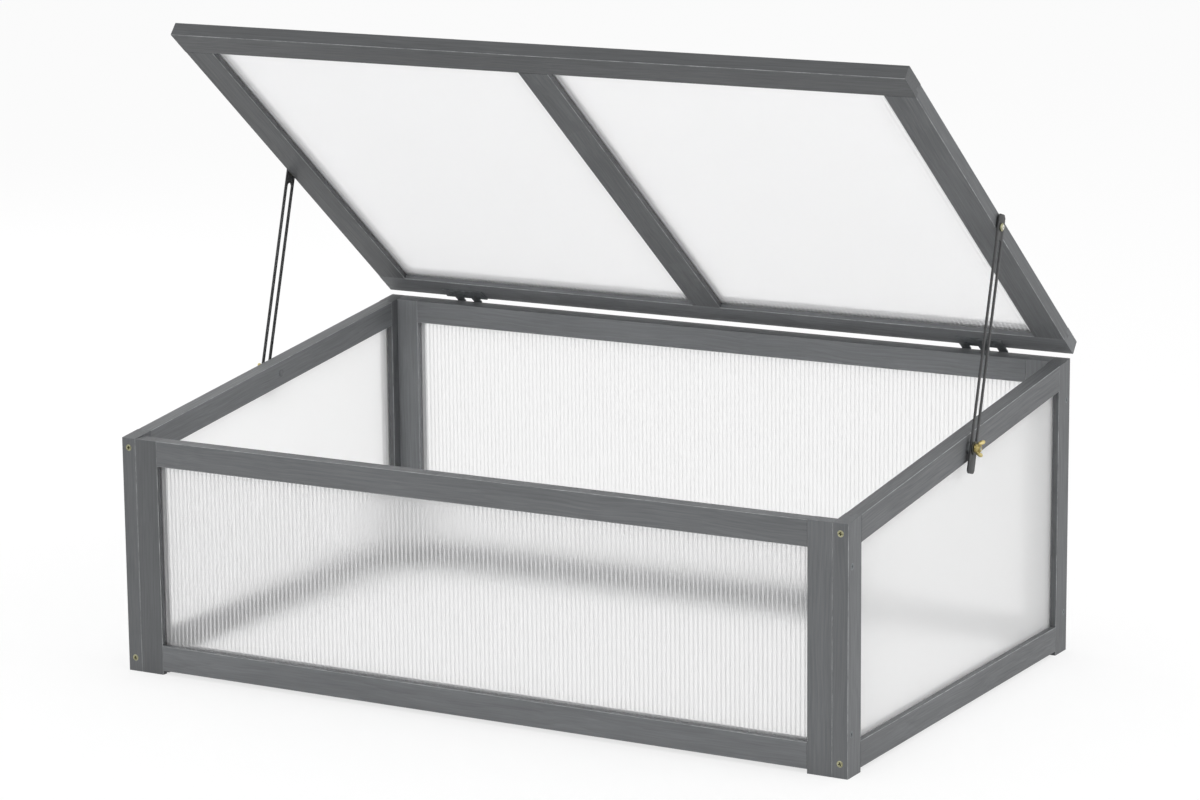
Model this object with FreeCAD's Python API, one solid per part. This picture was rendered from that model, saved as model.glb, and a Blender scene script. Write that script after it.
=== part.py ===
import FreeCAD, Part
import math
import os

# Wooden mini greenhouse: a cold frame of stained, grooved battens that hold
# fluted twin-wall sheets, with a sloping rim and a lid on two butt hinges.
# A slotted stay at each end, clamped by a wing nut, holds the lid open.
# Millimetres. X runs to the right, Y from the front to the back, Z up.
# The model is at rest with the lid open as far as the stays let it go.

V = FreeCAD.Vector

# Box
BOX_W = 1000.0
BOX_D = 630.0
FRONT_H = 298.0
REAR_H = 376.0
BATTEN_T = 20.0
RAIL_W = 32.0
END_STILE_W = 32.0
SIDE_STILE_W = 34.0
FOOT_LIFT = 5.0
ARRIS_R = 1.0

# Lid
LID_T = 18.0
LID_FRONT_RAIL_W = 40.0
LID_REAR_RAIL_W = 37.0
LID_STILE_W = 41.0
LID_MULLION_W = 41.0
LID_SIDE_OVERHANG = 3.0
LID_FRONT_OVERHANG = 9.5
LID_SETBACK = 7.0
LID_OPEN_DEG = 39.0
LID_REST_GAP = 0.3

# Twin-wall sheets, grooves and stub tenons
SHEET_T = 4.0
SKIN_T = 0.5
RIB_T = 0.5
FLUTE_PITCH = 6.0
GROOVE_DEPTH = 8.0
GROOVE_SLACK = 0.2
SHEET_END_GAP = 1.0
TENON_END_GAP = 0.5

# Butt hinges, with the lid's leaf cranked over the rim
HINGE_INSET = 119.5
KNUCKLE_L = 12.7
KNUCKLE_COUNT = 5
KNUCKLE_GAP = 0.3
KNUCKLE_BACK_GAP = 0.5
LEAF_W = 26.0
LEAF_T = 1.4
PIN_R = 1.25
PIN_SLACK = 0.05
AXIS_BELOW_RIM = 3.6
LEAF_BEND_R = 1.6
LEAF_NOTCH = 0.5
HINGE_SCREW_IN = 15.0
HINGE_SCREW_PITCH = 20.0
HINGE_SCREW_ZIGZAG = 3.0

# Wood screws, whose points are so many shank radii long
SCREW_R = 2.0
SCREW_HEAD_R = 4.0
SCREW_POINT_RATIO = 3.0
FRAME_SCREW_L = 60.0
CORNER_SCREW_L = 40.0
HINGE_SCREW_R = 1.6
HINGE_SCREW_HEAD_R = 3.0
HINGE_SCREW_L = 14.0
SCREW_SLACK = 0.1
LOW_SCREW_Z = 17.0
CORNER_SCREW_FROM_END = 51.0
RECESS_L = 4.0
RECESS_W = 0.8
RECESS_DEPTH = 1.2

# Stays
STAY_W = 19.0
STAY_T = 2.0
STAY_PIVOT_BACK = 304.5
STAY_PIVOT_UP = 5.0
STAY_TOP_L = 15.5
STAY_FOOT_L = 31.0
STAY_CORNER_CUT = 4.0
STAY_CORNER_R = 5.0
STAY_CLEAR_OF_LID = 1.5
SLOT_W = 10.0
SLOT_START = 15.3
MOVING_GAP = 0.3
PIVOT_R = 2.5
PIVOT_HEAD_R = 5.0
PIVOT_HEAD_FLAT_R = 3.0
PIVOT_HEAD_H = 2.4
PIVOT_L = 25.0
PIVOT_WASHER_R = 6.0

# Bolts, washers and wing nuts
BOLT_R = 2.5
BOLT_L = 35.0
BOLT_HEAD_R = 5.0
BOLT_HEAD_H = 2.5
SPACER_R = 7.0
WASHER_R = 8.0
WASHER_T = 1.2
WING_BORE_SLACK = 0.08
WING_HUB_R = 5.5
WING_HUB_TOP_R = 4.4
WING_HUB_BASE_H = 2.5
WING_HUB_H = 7.0
WING_SPAN = 21.0
WING_RISE = 11.0
WING_ROOT_UP = 1.0
WING_ROOT_H = 5.0
WING_T = 2.2
WING_LOBE_R = 3.0
WING_TILT_DEG = 25.0

# Directions whose cross product is under this are parallel
PARALLEL = 1e-6

# Sizes that follow from those above
GROOVE_W = SHEET_T + 2 * GROOVE_SLACK
SHEET_INTO_GROOVE = GROOVE_DEPTH - SHEET_END_GAP
TENON_L = GROOVE_DEPTH - TENON_END_GAP
OVERCUT = 2 * ARRIS_R + 1.0
RIM_RISE = (REAR_H - FRONT_H) / BOX_D
RIM_ANGLE = math.atan(RIM_RISE)
KNUCKLE_R = PIN_R + PIN_SLACK + LEAF_T
HINGE_L = KNUCKLE_COUNT * KNUCKLE_L
HINGE_X = BOX_W / 2 - HINGE_INSET
AXIS_BEHIND = KNUCKLE_R + KNUCKLE_BACK_GAP
AXIS = V(0, BOX_D + AXIS_BEHIND, REAR_H - AXIS_BELOW_RIM)
RIM_ABOVE_AXIS = AXIS_BEHIND * math.sin(RIM_ANGLE) + AXIS_BELOW_RIM * math.cos(RIM_ANGLE)
LID_UNDER = RIM_ABOVE_AXIS + LID_REST_GAP + LEAF_T
LID_W = BOX_W + 2 * LID_SIDE_OVERHANG
LID_OPEN = math.radians(LID_OPEN_DEG)


def closed_angle():
    """Slope of the shut lid, which stands just clear of the front frame's top edge."""
    reach = AXIS.y
    drop = AXIS.z - FRONT_H
    return math.atan2(drop, reach) + math.asin((LID_UNDER - LID_REST_GAP) / math.hypot(reach, drop))


LID_SHUT = closed_angle()
LID_FRONT = (AXIS.y + LID_FRONT_OVERHANG - LID_UNDER * math.sin(LID_SHUT)) / math.cos(LID_SHUT)
LID_L = LID_FRONT - LID_SETBACK


def swung(back, up, angle):
    """World point of one given back from and up from the hinge axis, with the lid turned by angle."""
    return AXIS + V(
        0,
        back * math.cos(angle) - up * math.sin(angle),
        back * math.sin(angle) + up * math.cos(angle),
    )


# The stay's pivot and its bolt lie at one radius from the hinge axis, so the
# bar turns by half of the lid's angle and its slot always lies on the bolt.
PIVOT_BACK = -(LID_SETBACK + STAY_PIVOT_BACK)
PIVOT_UP = LID_UNDER + STAY_PIVOT_UP
STAY_RADIUS = math.hypot(PIVOT_BACK, PIVOT_UP)
BOLT_UP = RIM_ABOVE_AXIS - RAIL_W / 2
STAY_PIVOT = swung(PIVOT_BACK, PIVOT_UP, -LID_OPEN)
STAY_BOLT = swung(-math.sqrt(STAY_RADIUS**2 - BOLT_UP**2), BOLT_UP, RIM_ANGLE)
STAY_REACH = (STAY_BOLT - STAY_PIVOT).Length
STAY_X = BOX_W / 2 + LID_SIDE_OVERHANG + STAY_CLEAR_OF_LID

# Y of the model's middle, between the front face and the lid's raised back edge
LID_BACK_ARRIS = swung(-LID_SETBACK - ARRIS_R, LID_UNDER + LID_T - ARRIS_R, -LID_OPEN)
MIDDLE_Y = (LID_BACK_ARRIS.y + ARRIS_R) / 2


class Edge:
    """A straight edge v = level + rise * u in a frame's own plane."""

    def __init__(self, level, rise=0.0):
        self.level = level
        self.rise = rise

    def at(self, u):
        return self.level + self.rise * u

    def moved(self, distance):
        """The parallel edge this far away, measured square to the edge."""
        return Edge(self.level + distance * math.hypot(1.0, self.rise), self.rise)


def between(u0, u1, lower, upper):
    """Corners of the strip between two edges, from u0 to u1."""
    return [(u0, lower.at(u0)), (u1, lower.at(u1)), (u1, upper.at(u1)), (u0, upper.at(u0))]


def prism(points, bottom, height):
    """Solid over a polygon of (u, v) points, from w = bottom upwards."""
    corners = [V(u, v, bottom) for u, v in points]
    return Part.Face(Part.makePolygon(corners + corners[:1])).extrude(V(0, 0, height))


def turned(profile):
    """Solid of a closed profile of (radius, height) points turned about Z."""
    corners = [V(radius, 0, height) for radius, height in profile]
    face = Part.Face(Part.makePolygon(corners + corners[:1]))
    return face.revolve(V(0, 0, 0), V(0, 0, 1), 360)


def laid(shape, origin, u_dir, v_dir):
    """The shape with its u, v and w axes laid along the given directions at origin."""
    w_dir = u_dir.cross(v_dir)
    matrix = FreeCAD.Matrix(
        u_dir.x, v_dir.x, w_dir.x, origin.x,
        u_dir.y, v_dir.y, w_dir.y, origin.y,
        u_dir.z, v_dir.z, w_dir.z, origin.z,
        0, 0, 0, 1,
    )
    return shape.transformed(matrix)


def pointed(shape, point, direction):
    """The shape with its Z axis along direction and its zero at point."""
    return shape.transformed(
        FreeCAD.Placement(point, FreeCAD.Rotation(V(0, 0, 1), direction)).toMatrix()
    )


def mirrored(shape):
    """The same shape on the other side of the middle plane X = 0."""
    return shape.mirror(V(0, 0, 0), V(1, 0, 0))


# Grooved battens, in a frame's own plane: u across, v up, w through the batten


def edges_along(solid, run):
    """Edges of the solid that lie along run."""
    run = V(run).normalize()
    found = []
    for edge in solid.Edges:
        if edge.tangentAt(edge.FirstParameter).cross(run).Length < PARALLEL:
            found.append(edge)
    return found


def rounded(solid, run):
    """The batten with its long arrises, the edges along run, rounded."""
    return solid.makeFillet(ARRIS_R, edges_along(solid, run))


def core(points, thickness):
    """Solid over the points in the middle of a batten, as thick as a groove is wide."""
    return prism(points, (thickness - GROOVE_W) / 2, GROOVE_W)


def through_batten(u0, u1, lower, upper, thickness, groove_at):
    """Batten from edge to edge with a groove all along its u0 or u1 side."""
    solid = rounded(prism(between(u0, u1, lower, upper), 0, thickness), V(0, 1, 0))
    if groove_at == "u0":
        side = (u0 - OVERCUT, u0 + GROOVE_DEPTH)
    else:
        side = (u1 - GROOVE_DEPTH, u1 + OVERCUT)
    groove = between(*side, lower.moved(-OVERCUT), upper.moved(OVERCUT))
    return solid.cut(core(groove, thickness))


def tenoned_batten(u0, u1, lower, width, thickness, grooves):
    """Batten between two others: grooved along the named edges, with a tenon at each end."""
    upper = lower.moved(width)
    solid = rounded(prism(between(u0, u1, lower, upper), 0, thickness), V(1, lower.rise, 0))
    tenon_lower = lower
    tenon_upper = upper
    if "lower" in grooves:
        tenon_lower = lower.moved(GROOVE_DEPTH)
        solid = solid.cut(core(between(u0, u1, lower.moved(-OVERCUT), tenon_lower), thickness))
    if "upper" in grooves:
        tenon_upper = upper.moved(-GROOVE_DEPTH)
        solid = solid.cut(core(between(u0, u1, tenon_upper, upper.moved(OVERCUT)), thickness))
    for end0, end1 in ((u0 - TENON_L, u0), (u1, u1 + TENON_L)):
        solid = solid.fuse(core(between(end0, end1, tenon_lower, tenon_upper), thickness))
    return solid.removeSplitter()


def twin_wall(across, along):
    """Fluted sheet from the origin: flutes side by side over X, each running along Y."""
    count = int((across - RIB_T) // FLUTE_PITCH)
    first = (across - count * FLUTE_PITCH - RIB_T) / 2 + RIB_T
    rings = [between(0, across, Edge(0.0), Edge(SHEET_T))]
    for index in range(count):
        left = first + index * FLUTE_PITCH
        right = left + FLUTE_PITCH - RIB_T
        rings.append(between(left, right, Edge(SKIN_T), Edge(SHEET_T - SKIN_T)))
    wires = []
    for ring in rings:
        corners = [V(x, 0, z) for x, z in ring]
        wires.append(Part.makePolygon(corners + corners[:1]))
    return Part.Face(wires, "Part::FaceMakerBullseye").extrude(V(0, along, 0))


def upright_sheet(u0, u1, lower, upper, thickness):
    """Sheet held in the grooves round an opening, with upright flutes."""
    u0 -= SHEET_INTO_GROOVE
    u1 += SHEET_INTO_GROOVE
    lower = lower.moved(-SHEET_INTO_GROOVE)
    upper = upper.moved(SHEET_INTO_GROOVE)
    bottom = lower.at(u0)
    sheet = twin_wall(u1 - u0, max(upper.at(u0), upper.at(u1)) - bottom)
    sheet.translate(V(u0, bottom, (thickness - SHEET_T) / 2))
    if upper.rise:
        sheet = sheet.common(prism(between(u0, u1, lower, upper), 0, thickness))
    return sheet


def box_frame(width, stile_w, top, planing=0.0):
    """Frame of four battens round a sheet, whose top edge can be left high for planing."""
    inner0 = stile_w
    inner1 = width - stile_w
    ground = Edge(0.0)
    sill = Edge(FOOT_LIFT)
    head = top.moved(-RAIL_W)
    high = top.moved(planing)
    return {
        "first_stile": through_batten(0, inner0, ground, high, BATTEN_T, "u1"),
        "last_stile": through_batten(inner1, width, ground, high, BATTEN_T, "u0"),
        "bottom_rail": tenoned_batten(inner0, inner1, sill, RAIL_W, BATTEN_T, ("upper",)),
        "top_rail": tenoned_batten(inner0, inner1, head, RAIL_W + planing, BATTEN_T, ("lower",)),
        "panel": upright_sheet(inner0, inner1, sill.moved(RAIL_W), head, BATTEN_T),
    }


# Screws, drawn pointing down from Z = 0 at the head's face


def wood_screw(length, shank_r, head_r, slack=0.0):
    """Countersunk screw, or with slack the pilot hole and countersink that it needs."""
    shank = shank_r + slack
    head = head_r + slack
    point_top = SCREW_POINT_RATIO * shank_r - length
    body = turned([(0, 0), (head, 0), (shank, shank - head), (shank, point_top), (0, -length - slack)])
    if slack:
        return body
    for long_x, long_y in ((RECESS_L, RECESS_W), (RECESS_W, RECESS_L)):
        slot = Part.makeBox(long_x, long_y, 2 * RECESS_DEPTH, V(-long_x / 2, -long_y / 2, -RECESS_DEPTH))
        body = body.cut(slot)
    return body


def drive(nodes, name, members, places, size):
    """Adds a group of screws at the places and drills the members that they enter."""
    screws = []
    for point, outward in places:
        screws.append(pointed(wood_screw(*size), point, outward))
        pilot = pointed(wood_screw(*size, slack=SCREW_SLACK), point, outward)
        for member in members:
            if nodes[member].BoundBox.intersect(pilot.BoundBox):
                nodes[member] = nodes[member].cut(pilot)
    nodes[name] = Part.makeCompound(screws)


FRAME_SCREW = (FRAME_SCREW_L, SCREW_R, SCREW_HEAD_R)
CORNER_SCREW = (CORNER_SCREW_L, SCREW_R, SCREW_HEAD_R)
HINGE_SCREW = (HINGE_SCREW_L, HINGE_SCREW_R, HINGE_SCREW_HEAD_R)


# The box


def add_end_frame(nodes, side, height, front_y, planing=0.0):
    """Front or rear frame, which stands between the side frames: its extra height is planed to the rim."""
    width = BOX_W - 2 * BATTEN_T
    rim = Edge(FRONT_H, RIM_RISE)
    above_rim = prism(between(-OVERCUT, BOX_D + OVERCUT, rim, Edge(2 * REAR_H)), 0, BOX_W)
    above_rim = laid(above_rim, V(-BOX_W / 2, 0, 0), V(0, 1, 0), V(0, 0, 1))
    for part, shape in box_frame(width, END_STILE_W, Edge(height), planing).items():
        part = part.replace("first", "left").replace("last", "right")
        shape = laid(shape, V(-width / 2, front_y + BATTEN_T, 0), V(1, 0, 0), V(0, 0, 1))
        if planing and part in ("left_stile", "right_stile", "top_rail"):
            shape = shape.cut(above_rim)
        nodes[f"{side}_{part}"] = shape
    places = []
    for z in (LOW_SCREW_Z, height - RAIL_W / 2):
        for outward in (-1, 1):
            places.append((V(outward * width / 2, front_y + BATTEN_T / 2, z), V(outward, 0, 0)))
    members = [f"{side}_{part}" for part in ("left_stile", "right_stile", "bottom_rail", "top_rail")]
    drive(nodes, f"{side}_frame_screws", members, places, FRAME_SCREW)


def add_right_side(nodes):
    """Right side frame, with a sloping top rail that carries the stay's bolt."""
    rim = Edge(FRONT_H, RIM_RISE)
    for part, shape in box_frame(BOX_D, SIDE_STILE_W, rim).items():
        part = part.replace("first", "front").replace("last", "rear")
        nodes[f"right_{part}"] = laid(shape, V(BOX_W / 2 - BATTEN_T, 0, 0), V(0, 1, 0), V(0, 0, 1))

    middle_x = (BOX_W - BATTEN_T) / 2
    head = rim.moved(-RAIL_W / 2)
    places = []
    for y, inner_y, outward in ((0, SIDE_STILE_W, -1), (BOX_D, BOX_D - SIDE_STILE_W, 1)):
        for z in (LOW_SCREW_Z, head.at(inner_y)):
            places.append((V(middle_x, y, z), V(0, outward, 0)))
    members = [f"right_{part}" for part in ("front_stile", "rear_stile", "bottom_rail", "top_rail")]
    drive(nodes, "right_frame_screws", members, places, FRAME_SCREW)

    places = []
    for y, height in ((BATTEN_T / 2, FRONT_H), (BOX_D - BATTEN_T / 2, REAR_H)):
        for z in (CORNER_SCREW_FROM_END, height - CORNER_SCREW_FROM_END):
            places.append((V(BOX_W / 2, y, z), V(1, 0, 0)))
    members = ["right_front_stile", "right_rear_stile", "front_right_stile", "rear_right_stile"]
    drive(nodes, "right_corner_screws", members, places, CORNER_SCREW)

    hole = Part.makeCylinder(BOLT_R + SCREW_SLACK, BOX_W, V(0, STAY_BOLT.y, STAY_BOLT.z), V(1, 0, 0))
    nodes["right_top_rail"] = nodes["right_top_rail"].cut(hole)


def add_left_side(nodes):
    """Left side frame, the mirror image of the right one."""
    mirrored_parts = ("front_stile", "rear_stile", "bottom_rail", "top_rail", "panel")
    for part in mirrored_parts + ("frame_screws", "corner_screws"):
        nodes[f"left_{part}"] = mirrored(nodes[f"right_{part}"])
    for side in ("front", "rear"):
        nodes[f"{side}_left_stile"] = mirrored(nodes[f"{side}_right_stile"])


# The lid, flat with the hinge axis along X through the origin


def add_lid(nodes):
    """Lid frame of two through rails, two stiles and a mullion round two sheets."""
    half = LID_W / 2
    inner0 = LID_REAR_RAIL_W
    inner1 = LID_L - LID_FRONT_RAIL_W
    left = Edge(-half)
    right = Edge(half)
    middle = Edge(-LID_MULLION_W / 2)
    lid = {
        "lid_rear_rail": through_batten(0, inner0, left, right, LID_T, "u1"),
        "lid_front_rail": through_batten(inner1, LID_L, left, right, LID_T, "u0"),
        "lid_left_stile": tenoned_batten(inner0, inner1, left, LID_STILE_W, LID_T, ("upper",)),
        "lid_right_stile": tenoned_batten(
            inner0, inner1, right.moved(-LID_STILE_W), LID_STILE_W, LID_T, ("lower",)
        ),
        "lid_mullion": tenoned_batten(inner0, inner1, middle, LID_MULLION_W, LID_T, ("lower", "upper")),
    }
    across = half - LID_STILE_W - LID_MULLION_W / 2 + 2 * SHEET_INTO_GROOVE
    along = inner1 - inner0 + 2 * SHEET_INTO_GROOVE
    for name, v0 in (("lid_left_panel", -half + LID_STILE_W), ("lid_right_panel", LID_MULLION_W / 2)):
        corner = V(inner1 + SHEET_INTO_GROOVE, v0 - SHEET_INTO_GROOVE, (LID_T - SHEET_T) / 2)
        lid[name] = laid(twin_wall(across, along), corner, V(0, 1, 0), V(-1, 0, 0))
    for name, shape in lid.items():
        nodes[name] = laid(shape, V(0, -LID_SETBACK, LID_UNDER), V(0, -1, 0), V(1, 0, 0))


# Hinges, about the axis along X through the origin


def knuckle_centres(first):
    """X of every second knuckle from the first one, with the hinge's middle at zero."""
    return [(index - (KNUCKLE_COUNT - 1) / 2) * KNUCKLE_L for index in range(first, KNUCKLE_COUNT, 2)]


def knuckle(x, arm):
    """Rolled knuckle with the arm that joins it to its leaf, an outline of (y, z) points."""
    length = KNUCKLE_L - KNUCKLE_GAP
    barrel = Part.makeCylinder(KNUCKLE_R, length, V(x - length / 2, 0, 0), V(1, 0, 0))
    strip = laid(arm.extrude(V(0, 0, length)), V(x - length / 2, 0, 0), V(0, 1, 0), V(0, 0, 1))
    return barrel.fuse(strip)


def outlined(points):
    """Face of an outline of (u, v) corners, where a point with a third number lies on an arc."""
    edges = []
    start = V(*points[0], 0)
    crest = None
    for point in points[1:] + points[:1]:
        if len(point) == 3:
            crest = V(*point)
            continue
        end = V(*point, 0)
        if crest:
            edges.append(Part.Arc(start, crest, end).toShape())
        else:
            edges.append(Part.LineSegment(start, end).toShape())
        start = end
        crest = None
    return Part.Face(Part.Wire(edges))


def frame_leaf(first, places):
    """Leaf on the rear face, whose plate hangs below the axis."""
    back = -AXIS_BEHIND
    plate = Part.makeBox(HINGE_L, LEAF_T, LEAF_W - KNUCKLE_R - LEAF_NOTCH, V(-HINGE_L / 2, back, -LEAF_W))
    arm_top = -KNUCKLE_R - LEAF_NOTCH
    arm = outlined([(back, arm_top), (back + LEAF_T, arm_top), (back + LEAF_T, 0), (back, 0)])
    return finished_leaf(plate, arm, first, places)


def lid_leaf(first, places):
    """Leaf under the lid, whose arms pass over the rim and turn down to the axis."""
    upper = LID_UNDER
    lower = LID_UNDER - LEAF_T
    plate_back = -LID_SETBACK
    plate = Part.makeBox(HINGE_L, LEAF_W - LID_SETBACK, LEAF_T, V(-HINGE_L / 2, -LEAF_W, lower))
    bend_y = KNUCKLE_R - LEAF_BEND_R
    bend_z = upper - LEAF_BEND_R
    inner_crest = (LEAF_BEND_R - LEAF_T) * math.sqrt(0.5)
    outer_crest = LEAF_BEND_R * math.sqrt(0.5)
    arm = outlined(
        [
            (plate_back, lower),
            (bend_y, lower),
            (bend_y + inner_crest, bend_z + inner_crest, 0),
            (KNUCKLE_R - LEAF_T, bend_z),
            (KNUCKLE_R - LEAF_T, 0),
            (KNUCKLE_R, 0),
            (KNUCKLE_R, bend_z),
            (bend_y + outer_crest, bend_z + outer_crest, 0),
            (bend_y, upper),
            (plate_back, upper),
        ]
    )
    return finished_leaf(plate, arm, first, places)


def finished_leaf(plate, arm, first, places):
    """Leaf of a plate and every second knuckle, bored for the pin and countersunk for its screws."""
    leaf = plate
    for x in knuckle_centres(first):
        leaf = leaf.fuse(knuckle(x, arm))
    leaf = leaf.removeSplitter()
    leaf = leaf.cut(Part.makeCylinder(PIN_R + PIN_SLACK, 2 * HINGE_L, V(-HINGE_L, 0, 0), V(1, 0, 0)))
    for point, outward in places:
        leaf = leaf.cut(pointed(wood_screw(*HINGE_SCREW, slack=SCREW_SLACK), point, outward))
    return leaf


def hinge_screw_places(at, outward):
    """Zigzag of three screws: at gives the point for an x and a distance from the axis."""
    places = []
    for step in (-1, 0, 1):
        zigzag = HINGE_SCREW_ZIGZAG if step == 0 else 0
        places.append((at(step * HINGE_SCREW_PITCH, HINGE_SCREW_IN + zigzag), outward))
    return places


def add_hinge(frame_nodes, lid_nodes, side, centre_x, lid_first):
    """One butt hinge: lid_first is the lid leaf's first knuckle, and the frame leaf has the others."""
    middle = V(centre_x, 0, 0)
    frame_places = hinge_screw_places(lambda x, d: V(x, -AXIS_BEHIND + LEAF_T, -d), V(0, 1, 0))
    lid_places = hinge_screw_places(lambda x, d: V(x, -d, LID_UNDER - LEAF_T), V(0, 0, -1))

    leaf = frame_leaf(1 - lid_first, frame_places)
    frame_nodes[f"{side}_hinge_frame_leaf"] = leaf.translated(AXIS + middle)
    places = [(point + AXIS + middle, outward) for point, outward in frame_places]
    drive(frame_nodes, f"{side}_hinge_frame_screws", ["rear_top_rail"], places, HINGE_SCREW)
    pin = Part.makeCylinder(PIN_R, HINGE_L, V(-HINGE_L / 2, 0, 0), V(1, 0, 0))
    frame_nodes[f"{side}_hinge_pin"] = pin.translated(AXIS + middle)

    lid_nodes[f"{side}_hinge_lid_leaf"] = lid_leaf(lid_first, lid_places).translated(middle)
    places = [(point + middle, outward) for point, outward in lid_places]
    drive(lid_nodes, f"{side}_hinge_lid_screws", ["lid_rear_rail"], places, HINGE_SCREW)


# Stays, pivots, bolts and wing nuts, on the right side


def obround(x0, x1, radius, height):
    """Rounded slot cutter along X from the centre of one end to that of the other."""
    slot = Part.makeBox(x1 - x0, 2 * radius, height, V(x0, -radius, 0))
    for x in (x0, x1):
        slot = slot.fuse(Part.makeCylinder(radius, height, V(x, 0, 0)))
    return slot.removeSplitter()


def stay_bar():
    """Slotted flat bar along X with the pivot at the origin and its foot at the far end."""
    end = STAY_REACH + STAY_FOOT_L
    half = STAY_W / 2
    cut = STAY_CORNER_CUT
    outline = [
        (-STAY_TOP_L, -half + cut),
        (-STAY_TOP_L + cut, -half),
        (end, -half),
        (end, half),
        (-STAY_TOP_L + cut, half),
        (-STAY_TOP_L, half - cut),
    ]
    bar = prism(outline, 0, STAY_T)
    foot_corners = [edge for edge in edges_along(bar, V(0, 0, 1)) if edge.CenterOfMass.x > 0]
    bar = bar.makeFillet(STAY_CORNER_R, foot_corners)
    slot_r = SLOT_W / 2
    slot_end = STAY_REACH + BOLT_R + MOVING_GAP - slot_r
    bar = bar.cut(obround(SLOT_START + slot_r, slot_end, slot_r, STAY_T))
    return bar.cut(Part.makeCylinder(PIVOT_R + PIN_SLACK, STAY_T))


def right_stay():
    """The bar from its pivot on the lid to its bolt on the side frame."""
    down = (STAY_BOLT - STAY_PIVOT).normalize()
    return laid(stay_bar(), V(STAY_X, STAY_PIVOT.y, STAY_PIVOT.z), down, V(1, 0, 0).cross(down))


def add_right_pivot(lid_nodes):
    """Shouldered screw and washer that hold the stay on the lid's edge."""
    seat = LID_W / 2
    washer_t = STAY_CLEAR_OF_LID - MOVING_GAP
    stay_out = STAY_CLEAR_OF_LID + STAY_T + MOVING_GAP
    centre = V(seat, PIVOT_BACK, PIVOT_UP)
    screw = turned(
        [
            (0, -PIVOT_L),
            (SCREW_R, -PIVOT_L + SCREW_POINT_RATIO * SCREW_R),
            (SCREW_R, 0),
            (PIVOT_R, 0),
            (PIVOT_R, stay_out),
            (PIVOT_HEAD_R, stay_out),
            (PIVOT_HEAD_R, stay_out + PIVOT_HEAD_H / 2),
            (PIVOT_HEAD_FLAT_R, stay_out + PIVOT_HEAD_H),
            (0, stay_out + PIVOT_HEAD_H),
        ]
    )
    pilot = pointed(Part.makeCylinder(SCREW_R + SCREW_SLACK, PIVOT_L + SCREW_SLACK), centre, V(-1, 0, 0))
    lid_nodes["lid_right_stile"] = lid_nodes["lid_right_stile"].cut(pilot)
    lid_nodes["right_stay_pivot_screw"] = pointed(screw, centre, V(1, 0, 0))
    lid_nodes["right_stay_pivot_washer"] = pointed(
        ring(PIVOT_R + SCREW_SLACK, PIVOT_WASHER_R, washer_t), centre, V(1, 0, 0)
    )


def ring(inner_r, outer_r, height):
    """Flat washer on Z = 0."""
    return turned([(inner_r, 0), (outer_r, 0), (outer_r, height), (inner_r, height)])


def bolt_point(x):
    """Point on the stay bolt's axis."""
    return V(x, STAY_BOLT.y, STAY_BOLT.z)


def add_right_bolt(nodes):
    """Round-head bolt from inside the box, with a spacer behind the stay and a washer before it."""
    inside = BOX_W / 2 - BATTEN_T
    spacer_l = STAY_X - MOVING_GAP - BOX_W / 2
    bolt = turned(
        [
            (0, -BOLT_HEAD_H),
            (BOLT_HEAD_R / 2, -BOLT_HEAD_H),
            (BOLT_HEAD_R, -BOLT_HEAD_H / 2),
            (BOLT_HEAD_R, 0),
            (BOLT_R, 0),
            (BOLT_R, BOLT_L),
            (0, BOLT_L),
        ]
    )
    bore = BOLT_R + SCREW_SLACK
    nodes["right_stay_bolt"] = pointed(bolt, bolt_point(inside), V(1, 0, 0))
    spacer = ring(bore, SPACER_R, spacer_l)
    nodes["right_stay_spacer"] = pointed(spacer, bolt_point(BOX_W / 2), V(1, 0, 0))
    washer = ring(bore, WASHER_R, WASHER_T)
    nodes["right_stay_washer"] = pointed(washer, bolt_point(STAY_X + STAY_T + MOVING_GAP), V(1, 0, 0))


def wing_nut():
    """Wing nut standing on Z = 0, with its wings along X."""
    lobe_x = WING_SPAN / 2 - WING_LOBE_R
    lobe_z = WING_RISE - WING_LOBE_R
    nut = turned(
        [
            (0, 0),
            (WING_HUB_R, 0),
            (WING_HUB_R, WING_HUB_BASE_H),
            (WING_HUB_TOP_R, WING_HUB_H),
            (0, WING_HUB_H),
        ]
    )
    outline = [
        (BOLT_R, WING_ROOT_UP),
        (WING_HUB_R, WING_ROOT_UP),
        (lobe_x + WING_LOBE_R, lobe_z),
        (lobe_x - WING_LOBE_R, lobe_z),
        (BOLT_R, WING_ROOT_UP + WING_ROOT_H),
    ]
    wing = laid(prism(outline, -WING_T / 2, WING_T), V(0, 0, 0), V(1, 0, 0), V(0, 0, 1))
    wing = wing.fuse(Part.makeCylinder(WING_LOBE_R, WING_T, V(lobe_x, -WING_T / 2, lobe_z), V(0, 1, 0)))
    nut = nut.fuse(wing).fuse(mirrored(wing)).removeSplitter()
    bore_r = BOLT_R + WING_BORE_SLACK
    return nut.cut(Part.makeCylinder(bore_r, 4 * WING_RISE, V(0, 0, -WING_RISE)))


def right_wing_nut():
    """The wing nut on its bolt, turned as it was left when it was done up."""
    tilt = math.radians(WING_TILT_DEG)
    wings = V(0, math.sin(tilt), math.cos(tilt))
    seat = STAY_X + STAY_T + WASHER_T + 2 * MOVING_GAP
    return laid(wing_nut(), bolt_point(seat), wings, V(1, 0, 0).cross(wings))


# The whole greenhouse


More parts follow.
